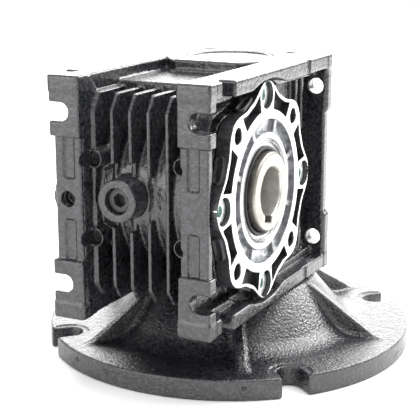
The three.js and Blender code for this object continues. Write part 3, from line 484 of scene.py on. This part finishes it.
# ---- shaft, seals, screws, plug and cap ---------------------------------------------------
def output_shaft(x, y, z):
    u, v = y - OUT_Y, z - OUT_Z
    radius, along = np.hypot(u, v), np.abs(x)
    body = meet(radius - SHAFT["radius"], along - SHAFT_END, 1.1)
    body = join(body, meet(radius - SHAFT["shoulder"], along - SHAFT["shoulder_half"]))
    body = join(body, meet(radius - SHAFT["web"], along - SHAFT["web_half"]))
    body = cut(body, radius - SHAFT["bore"], 0.9)
    a = math.radians(KEY["angle"])
    s, t = u * math.cos(a) + v * math.sin(a), -u * math.sin(a) + v * math.cos(a)
    return cut(body, meet(np.abs(t) - KEY["half"], slab(s, 0, KEY["top"]), 0.3), 0.3)


def lip_seal(side):
    face = BOSS_FACE - 0.2

    def solid(x, y, z):
        radius = np.hypot(y - OUT_Y, z - OUT_Z)
        depth = face - side * x
        body = meet(slab(radius, 20.3, 26), slab(depth, 0, 6.8), 0.3)
        body = cut(body, meet(slab(radius, 22.4, 24.6), slab(depth, -3, 1.3)), 0.3)
        lip = meet(line(radius, depth, (20.3, 0.9), (22.4, -1)), slab(depth, -2, 2))
        body = cut(body, lip, 0.2)
        return cut(body, meet(slab(radius, 25.1, 25.5), slab(depth, -3, 0.5)), 0.15)
    return solid


def cover_screw(number):
    a = math.pi / 2 * number
    y0, z0 = OUT_Y + SCREW_CIRCLE * math.cos(a), OUT_Z + SCREW_CIRCLE * math.sin(a)
    head_top = FACE - SCREW["sunk"]
    head_foot = head_top - SCREW["head_height"] + 0.1

    def solid(x, y, z):
        u, v = y - y0, z - z0
        radius = np.hypot(u, v)
        head = meet(radius - SCREW["head"] + 0.05, slab(x, head_foot, head_top), 0.6)
        shank = meet(radius - SCREW["shank"] + 0.15, slab(x, head_foot - SCREW["length"], head_top - 1), 0.5)
        s, t = folded(u, v, 6, 20)
        return cut(join(head, shank), meet(s - 2.6, slab(x, head_top - 2.2, head_top + 3)), 0.25)
    return solid


def end_cap(x, y, z):
    """A pressed-in cap with a shallow dish and a raised rim."""
    radius = np.hypot(x, y - WORM_Y)
    body = meet(radius - 23.5, slab(z, 150, TOP - 0.1), 1.4)
    dish = meet(radius - 20.5, slab(z, TOP - 0.8, TOP + 3))
    return cut(body, dish, 0.5)


def oil_plug(x, y, z):
    u, v = x - PLUG["x"], z - PLUG["z"]
    front = PLUG["front"] + 3
    body = meet(np.hypot(u, v) - PLUG["hole"] + 0.12, slab(y, front, front + 9), 0.5)
    s, _ = folded(u, v, 6, 10)
    return cut(body, meet(s - 3.0, slab(y, front - 3, front + 5)), 0.3)


# ---- materials ----------------------------------------------------------------------------
class Surface:
    """A Principled material in object space, with helpers for its procedural detail."""

    def __init__(self, name, color, roughness, metallic=0.0, **extra):
        self.material = bpy.data.materials.new(name)
        self.material.use_nodes = True
        self.nodes, self.links = self.material.node_tree.nodes, self.material.node_tree.links
        self.shader = self.nodes["Principled BSDF"]
        self.shader.inputs["Base Color"].default_value = (*color, 1)
        self.shader.inputs["Roughness"].default_value = roughness
        self.shader.inputs["Metallic"].default_value = metallic
        for socket, value in extra.items():
            self.shader.inputs[socket.replace("_", " ")].default_value = value
        self.place = self.nodes.new("ShaderNodeTexCoord").outputs["Object"]
        self.normal = None

    def noise(self, size_mm, detail=3.0, roughness=0.55, stretch=None):
        place = self.place
        if stretch:
            mapping = self.nodes.new("ShaderNodeMapping")
            mapping.inputs["Scale"].default_value = stretch
            self.links.new(place, mapping.inputs["Vector"])
            place = mapping.outputs["Vector"]
        texture = self.nodes.new("ShaderNodeTexNoise")
        texture.inputs["Scale"].default_value = 1 / (size_mm * MM)
        texture.inputs["Detail"].default_value = detail
        texture.inputs["Roughness"].default_value = roughness
        self.links.new(place, texture.inputs["Vector"])
        return texture.outputs["Fac"]

    def rings(self, pitch_mm, centre, axis, distortion=0.3):
        """Turning marks: rings about an axis through a centre, in metres."""
        mapping = self.nodes.new("ShaderNodeMapping")
        mapping.inputs["Location"].default_value = [-c for c in centre]
        self.links.new(self.place, mapping.inputs["Vector"])
        wave = self.nodes.new("ShaderNodeTexWave")
        wave.wave_type = "RINGS"
        wave.rings_direction = axis
        wave.inputs["Scale"].default_value = 0.314 / (pitch_mm * MM)
        wave.inputs["Distortion"].default_value = distortion
        wave.inputs["Detail"].default_value = 2.0
        self.links.new(mapping.outputs["Vector"], wave.inputs["Vector"])
        return wave.outputs["Fac"]

    def ranged(self, value, low, high, start=0.3, end=0.7):
        node = self.nodes.new("ShaderNodeMapRange")
        for socket, number in (("From Min", start), ("From Max", end), ("To Min", low), ("To Max", high)):
            node.inputs[socket].default_value = number
        self.links.new(value, node.inputs["Value"])
        return node.outputs["Result"]

    def tint(self, value, first, second, start=0.35, end=0.65):
        ramp = self.nodes.new("ShaderNodeValToRGB")
        ramp.color_ramp.elements[0].position = start
        ramp.color_ramp.elements[1].position = end
        ramp.color_ramp.elements[0].color = (*first, 1)
        ramp.color_ramp.elements[1].color = (*second, 1)
        self.links.new(value, ramp.inputs["Fac"])
        self.links.new(ramp.outputs["Color"], self.shader.inputs["Base Color"])

    def rough(self, value, low, high):
        self.links.new(self.ranged(value, low, high), self.shader.inputs["Roughness"])

    def bump(self, value, height_mm, strength=1.0):
        node = self.nodes.new("ShaderNodeBump")
        node.inputs["Distance"].default_value = height_mm * MM
        node.inputs["Strength"].default_value = strength
        self.links.new(value, node.inputs["Height"])
        if self.normal:
            self.links.new(self.normal, node.inputs["Normal"])
        self.normal = node.outputs["Normal"]
        self.links.new(self.normal, self.shader.inputs["Normal"])


OUTPUT_CENTRE = (0, OUT_Y * MM, OUT_Z * MM)
WORM_CENTRE = (0, WORM_Y * MM, 0)


def enamel(name, peel_mm, peel_height, grain_height, roughness):
    """Gloss black paint over a cast surface: orange peel, fine grain and dusty patches."""
    s = Surface(name, (0.012, 0.013, 0.015), roughness, 0.0, Specular_IOR_Level=0.8)
    s.tint(s.noise(1.9, 5, 0.65), (0.006, 0.0063, 0.0072), (0.034, 0.035, 0.04), 0.42, 0.62)
    s.rough(s.noise(3.5, 5), roughness - 0.06, roughness + 0.13)
    s.bump(s.noise(peel_mm, 2.0, 0.5), peel_height)
    s.bump(s.noise(peel_mm * 0.4, 2.0, 0.6), grain_height)
    return s.material


def machined():
    s = Surface("machined_face", (0.86, 0.865, 0.87), 0.3, 0.85)
    s.tint(s.noise(14, 3), (0.8, 0.81, 0.815), (0.92, 0.92, 0.925))
    s.rough(s.noise(3, 3), 0.26, 0.42)
    s.bump(s.rings(0.45, OUTPUT_CENTRE, "X"), 0.012)
    return s.material


def recess_metal():
    s = Surface("recess_metal", (0.3, 0.305, 0.32), 0.38, 0.9)
    s.tint(s.noise(4, 4), (0.22, 0.225, 0.235), (0.46, 0.465, 0.48), 0.38, 0.6)
    s.rough(s.noise(2.5, 4), 0.28, 0.5)
    s.bump(s.rings(0.9, OUTPUT_CENTRE, "X"), 0.04)
    s.bump(s.noise(1.6, 3), 0.04)
    return s.material


def turned_steel(name, color, darker, centre, axis, roughness=0.26):
    s = Surface(name, color, roughness, 1.0)
    s.tint(s.noise(7, 4), darker, color)
    s.rough(s.noise(3, 4), roughness - 0.06, roughness + 0.12)
    s.bump(s.rings(0.35, centre, axis), 0.01)
    return s.material


def plated(name, color, darker, roughness=0.32):
    s = Surface(name, color, roughness, 0.95)
    s.tint(s.noise(2.2, 4), darker, color)
    s.rough(s.noise(1.4, 3), roughness - 0.08, roughness + 0.14)
    s.bump(s.noise(0.8, 3), 0.02)
    return s.material


def soft_black(name, color, roughness):
    s = Surface(name, color, roughness, 0.0)
    s.tint(s.noise(3, 3), [c * 0.7 for c in color], [c * 1.4 for c in color])
    s.rough(s.noise(2, 3), roughness - 0.1, roughness + 0.12)
    s.bump(s.noise(0.6, 3), 0.03)
    return s.material


ENAMEL = enamel("cast_enamel", 2.2, 0.36, 0.09, 0.2)
PEBBLED = enamel("pebbled_enamel", 1.3, 0.55, 0.1, 0.16)
POCKET_BLACK = enamel("pocket_enamel", 1.2, 0.12, 0.05, 0.4)
MACHINED = machined()
RECESS = recess_metal()
BOSS_METAL = turned_steel("boss_ring", (0.52, 0.525, 0.53), (0.36, 0.365, 0.37), OUTPUT_CENTRE, "X", 0.34)
SHAFT_STEEL = turned_steel("shaft_steel", (0.33, 0.315, 0.285), (0.25, 0.236, 0.21), OUTPUT_CENTRE, "X", 0.3)
# Painted light: the bore is the same turned steel as the shaft, given a much lighter base colour to stand in for
# the light that comes through the hollow bore.
BORE_PAINTED_LIGHT = turned_steel("bore_painted_light", (0.8, 0.785, 0.75), (0.6, 0.585, 0.55), OUTPUT_CENTRE, "X", 0.42)
WORM_STEEL = turned_steel("worm_steel", (0.62, 0.62, 0.61), (0.42, 0.42, 0.42), WORM_CENTRE, "Z")
BEARING_STEEL = turned_steel("bearing_steel", (0.72, 0.72, 0.73), (0.55, 0.55, 0.56), OUTPUT_CENTRE, "X", 0.2)
BRONZE = turned_steel("wheel_bronze", (0.72, 0.47, 0.2), (0.5, 0.3, 0.12), OUTPUT_CENTRE, "X", 0.34)
ZINC = plated("zinc_plate", (0.85, 0.88, 0.86), (0.66, 0.7, 0.68))
SOCKET = plated("socket_patch", (0.2, 0.42, 0.35), (0.1, 0.22, 0.19), 0.4)
SEAL_METAL = plated("seal_case", (0.5, 0.502, 0.51), (0.26, 0.262, 0.266), 0.34)
RUBBER = soft_black("seal_rubber", (0.02, 0.02, 0.021), 0.55)
GASKET = soft_black("gasket_fibre", (0.07, 0.072, 0.075), 0.8)


# ---- pieces -------------------------------------------------------------------------------
def radius_about_output(middles):
    return np.hypot(middles[:, 1] - OUT_Y, middles[:, 2] - OUT_Z)


def ring_finish(side):
    """Machined face, grey pilot recess and black everywhere else, for a scalloped face."""
    def choose(middles, normals):
        radius = radius_about_output(middles)
        height = side * middles[:, 0]
        faces_out = side * normals[:, 0]
        numbers = np.zeros(len(middles))
        numbers[(height > FACE - 0.35) & (faces_out > 0.55) & (radius > PILOT)] = 1
        numbers[(radius < PILOT + 0.3) & (height > RECESS_FLOOR - 0.4)] = 2
        numbers[(height > BOSS_FACE - 0.4) & (faces_out > 0.5) & (radius < BOSS_OUTER + 0.5)] = 3
        return numbers
    return choose


def place(piece, body, node, slot):
    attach(piece, body)
    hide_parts(node)


def build_castings():
    low, high = box_mm("housing")
    piece = skin("housing_casting", housing, low, high, 0.9)
    finish_by(piece, [ENAMEL, MACHINED, RECESS, BOSS_METAL], ring_finish(-1))
    place(piece, "casing", "housing", "enamel")

    low, high = box_mm("side_cover")
    piece = skin("side_cover_face", side_cover, low, high, 0.45)
    finish_by(piece, [POCKET_BLACK, MACHINED, RECESS, BOSS_METAL], ring_finish(1))
    place(piece, "casing", "side_cover", "machined")

    low, high = box_mm("motor_flange")
    piece = skin("motor_flange_casting", motor_flange, low, high, 0.95)
    piece.data.materials.append(PEBBLED)
    place(piece, "casing", "motor_flange", "enamel")


def build_turned():
    low, high = box_mm("output_shaft")
    piece = skin("hollow_shaft", output_shaft, low, high, 0.6)
    # The bore's faces get the lighter steel, which is painted light standing in for light through the bore.
    finish_by(piece, [SHAFT_STEEL, BORE_PAINTED_LIGHT], lambda middles, normals: (
        radius_about_output(middles) < SHAFT["bore"] + 0.2))
    place(piece, "output", "output_shaft", "shaft_steel")
    for side, label in ((1, "front"), (-1, "rear")):
        node = "output_seal_" + label
        piece = skin("lip_seal_" + label, lip_seal(side), *box_mm(node), 0.35)
        finish_by(piece, [SEAL_METAL, RUBBER], lambda middles, normals: radius_about_output(middles) < 22.6)
        place(piece, "casing", node, "rubber")
    for i in range(4):
        node = "cover_screw_%d" % (i + 1)
        piece = skin("socket_screw_%d" % (i + 1), cover_screw(i), *box_mm(node), 0.3)
        floor = FACE - SCREW["sunk"] - 1.6
        a = math.pi / 2 * i
        centre = (OUT_Y + SCREW_CIRCLE * math.cos(a), OUT_Z + SCREW_CIRCLE * math.sin(a))
        finish_by(piece, [ZINC, SOCKET], lambda middles, normals: (
            (np.hypot(middles[:, 1] - centre[0], middles[:, 2] - centre[1]) < 3.1)
            & (normals[:, 0] > 0.5) & (middles[:, 0] < floor) & (middles[:, 0] > floor - 2)))
        place(piece, "casing", node, "zinc")
    piece = skin("pressed_end_cap", end_cap, *box_mm("rear_end_cap"), 0.5)
    piece.data.materials.append(ENAMEL)
    place(piece, "casing", "rear_end_cap", "cap_enamel")
    piece = skin("hexagon_plug", oil_plug, *box_mm("oil_plug"), 0.3)
    piece.data.materials.append(soft_black("plug_black", (0.03, 0.03, 0.032), 0.4))
    place(piece, "casing", "oil_plug", "zinc")


def finish_cad_nodes():
    """Materials for the CAD nodes that stay as they are."""
    looks = {"bearing_steel": BEARING_STEEL, "shaft_steel": WORM_STEEL, "zinc": ZINC, "bronze": BRONZE,
             "rubber": RUBBER, "gasket": GASKET, "enamel": ENAMEL, "cap_enamel": ENAMEL, "machined": MACHINED}
    for part in frame["record"]["subparts"]:
        mesh = frame["nodes"][part["node"]].data
        mesh.materials.clear()
        mesh.materials.append(looks[part["material_slot"]])


# ---- studio -------------------------------------------------------------------------------
def build_floor():
    size = 14.0
    mesh = bpy.data.meshes.new("floor")
    corners = [(-size, -size, 0), (size, -size, 0), (size, size, 0), (-size, size, 0)]
    mesh.from_pydata(corners, [], [(0, 1, 2, 3)])
    floor = bpy.data.objects.new("studio_floor", mesh)
    bpy.context.scene.collection.objects.link(floor)
    surface = Surface("floor_paper", (0.93, 0.93, 0.93), 0.85)
    surface.tint(surface.noise(60, 2), (0.98, 0.98, 0.98), (0.99, 0.99, 0.99))
    mesh.materials.append(surface.material)


def softbox(name, place, aim, size, power):
    data = bpy.data.lights.new(name, "AREA")
    data.shape = "RECTANGLE"
    data.size, data.size_y = size
    data.energy = power
    lamp = bpy.data.objects.new(name, data)
    lamp.location = place
    lamp.rotation_euler = (Vector(place) - Vector(aim)).to_track_quat("Z", "Y").to_euler()
    lamp.visible_camera = False
    bpy.context.scene.collection.objects.link(lamp)


def build_lights():
    world = bpy.data.worlds.new("studio")
    world.use_nodes = True
    world.node_tree.nodes["Background"].inputs["Color"].default_value = (1, 1, 1, 1)
    world.node_tree.nodes["Background"].inputs["Strength"].default_value = 1.0
    bpy.context.scene.world = world
    aim = (0, -0.02, 0.09)
    softbox("top_light", (0.1, 0.05, 1.1), aim, (1.0, 1.0), 12)
    softbox("back_light", (-0.6, 1.35, 0.5), aim, (1.7, 0.9), 22)
    softbox("floor_light", (0.45, 0.72, 0.6), (0.33, 0.5, 0), (0.6, 0.6), 14)
    softbox("front_fill", (-0.55, -1.2, 0.35), aim, (1.2, 0.7), 7)


def build_camera():
    """A short telephoto view from the front right, a little above the object."""
    azimuth, elevation = math.radians(26.54), math.radians(14.04)
    distance = 0.6292
    aim = Vector((0, -0.0189, 0.0766))
    back = Vector((math.sin(azimuth) * math.cos(elevation), -math.cos(azimuth) * math.cos(elevation),
                   math.sin(elevation)))
    right = Vector((math.cos(azimuth), math.sin(azimuth), 0))
    data = bpy.data.cameras.new("camera")
    data.lens, data.sensor_width = 100.66, 36
    camera = bpy.data.objects.new("camera", data)
    turn = Matrix((right, back.cross(right), back)).transposed().to_4x4()
    camera.matrix_world = Matrix.Translation(aim + back * distance) @ turn
    bpy.context.scene.collection.objects.link(camera)
    bpy.context.scene.camera = camera
    bpy.context.scene.view_settings.view_transform = "Standard"


build_camera()
finish_cad_nodes()
build_castings()
build_turned()
build_floor()
build_lights()
